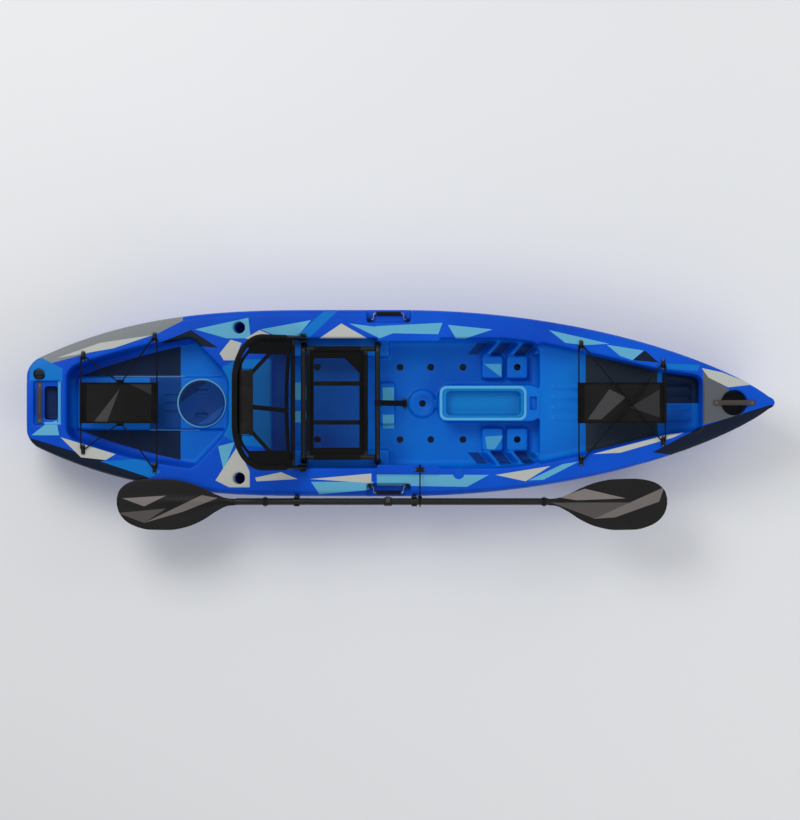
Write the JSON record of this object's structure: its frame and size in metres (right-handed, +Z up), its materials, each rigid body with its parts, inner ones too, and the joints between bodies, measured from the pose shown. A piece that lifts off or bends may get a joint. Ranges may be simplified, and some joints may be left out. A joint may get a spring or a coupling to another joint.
{
  "type": "fishing kayak",
  "caption": "Sit-on-top fishing kayak with a framed mesh seat, tank wells, hatch, bungee rigging and a stowed two-piece paddle.",
  "frame": {"origin": "on the flat keel strip amidships, where the hull stands on level ground", "axes": "+X towards the bow, +Y to port, +Z up"},
  "size_m": [3.25, 0.962, 0.6955],
  "materials": {
    "hull": "rotomoulded polyethylene, satin",
    "blue_plastic": "moulded, satin",
    "cyan_plastic": "moulded, satin",
    "black_plastic": "moulded nylon, satin",
    "black_rubber": "matt",
    "grey_rubber": "matt",
    "steel_wire": "stainless wire",
    "seat_tube": "black powder coat",
    "seat_fabric": "open mesh",
    "webbing": "woven webbing",
    "pad_fabric": "ribbed cloth",
    "cargo_fabric": "coated cloth",
    "bungee": "braided sheath",
    "paddle_shaft": "dark coating, smooth",
    "paddle_blade": "moulded, satin"
  },
  "bodies": {
    "hull": {"hull": "hull", "hatch_ring": "cyan_plastic", "port_handle_bracket_fore": "black_plastic", "port_handle_bracket_aft": "black_plastic", "starboard_handle_bracket_fore": "black_plastic", "starboard_handle_bracket_aft": "black_plastic", "hinge_plate_port": "black_plastic", "hinge_plate_starboard": "black_plastic", "pivot_bolt_port": "black_plastic", "pivot_bolt_starboard": "black_plastic", "tie_down_anchor": "black_plastic", "paddle_cradle_fore": "black_plastic", "paddle_cradle_aft": "black_plastic", "keeper_anchor": "black_plastic", "keeper_cleat": "black_plastic", "stern_pad_eye_aft_port": "black_plastic", "stern_pad_eye_aft_starboard": "black_plastic", "stern_pad_eye_fore_port": "black_plastic", "stern_pad_eye_fore_starboard": "black_plastic", "bow_pad_eye_aft_port": "black_plastic", "bow_pad_eye_aft_starboard": "black_plastic", "bow_pad_eye_fore_port": "black_plastic", "bow_pad_eye_fore_starboard": "black_plastic", "foot_rear_port": "black_rubber", "foot_rear_starboard": "black_rubber", "foot_front_port": "black_rubber", "foot_front_starboard": "black_rubber", "stern_handle": "grey_rubber", "bow_handle": "grey_rubber", "rear_leg_frame": "seat_tube", "front_leg_frame": "seat_tube", "seat_base_frame": "seat_tube", "seat_mesh": "seat_fabric", "seat_strap_port": "webbing", "seat_strap_starboard": "webbing", "tie_down_strap": "webbing", "stern_cargo_panel": "cargo_fabric", "bow_cargo_panel": "cargo_fabric", "stern_bungee": "bungee", "bow_bungee": "bungee", "keeper_cord": "bungee"},
    "hatch_seal": {"hatch_seal": "black_rubber"},
    "hatch_lid": {"hatch_lid": "blue_plastic"},
    "drain_washer": {"drain_washer": "black_rubber"},
    "drain_plug": {"drain_plug": "black_plastic"},
    "port_handle": {"port_handle_bail": "steel_wire", "port_handle_grip": "black_rubber"},
    "starboard_handle": {"starboard_handle_bail": "steel_wire", "starboard_handle_grip": "black_rubber"},
    "backrest": {"backrest_frame": "seat_tube", "backrest_mesh": "seat_fabric", "head_pad": "pad_fabric"},
    "paddle_aft": {"paddle_shaft_aft": "paddle_shaft", "paddle_blade_aft": "paddle_blade", "drip_ring_aft": "black_rubber", "ferrule_collar": "black_plastic"},
    "paddle_fore": {"paddle_shaft_fore": "paddle_shaft", "paddle_blade_fore": "paddle_blade", "drip_ring_fore": "black_rubber"},
    "ferrule_lever": {"ferrule_lever": "grey_rubber"}
  },
  "joints": [
    {"name": "hatch_lift", "type": "slide", "parent": "hull", "child": "hatch_seal", "axis": [0, 0, 1], "range_m": [0, 0.2]},
    {"name": "hatch_turn", "type": "hinge", "parent": "hatch_seal", "child": "hatch_lid", "pos_m": [-0.871, 0, 0.1803], "axis": [0, 0, 1], "range_deg": [0, 90]},
    {"name": "drain_lift", "type": "slide", "parent": "hull", "child": "drain_washer", "axis": [0, 0, 1], "range_m": [0, 0.05]},
    {"name": "drain_turn", "type": "hinge", "parent": "drain_washer", "child": "drain_plug", "pos_m": [-1.57, 0.125, 0.3326], "axis": [0, 0, 1], "continuous": true},
    {"name": "port_handle_swing", "type": "hinge", "parent": "hull", "child": "port_handle", "pos_m": [-0.05, 0.364, 0.258], "axis": [1, 0, 0], "range_deg": [0, 90]},
    {"name": "starboard_handle_swing", "type": "hinge", "parent": "hull", "child": "starboard_handle", "pos_m": [-0.05, -0.364, 0.258], "axis": [-1, 0, 0], "range_deg": [0, 90]},
    {"name": "backrest_fold", "type": "hinge", "parent": "hull", "child": "backrest", "pos_m": [-0.422, 0, 0.322], "axis": [0, 1, 0], "range_deg": [0, 128]},
    {"name": "paddle_lift", "type": "slide", "parent": "hull", "child": "paddle_aft", "axis": [0, 0, 1], "range_m": [0, 0.12], "deforming": ["keeper_cord"]},
    {"name": "paddle_feather", "type": "hinge", "parent": "paddle_aft", "child": "paddle_fore", "pos_m": [-0.035, -0.43, 0.325], "axis": [1, 0, 0], "range_deg": [0, 60]},
    {"name": "ferrule_lever_swing", "type": "hinge", "parent": "paddle_aft", "child": "ferrule_lever", "pos_m": [-0.0523, -0.43, 0.3483], "axis": [1, 0, 0], "range_deg": [0, 100]}
  ]
}
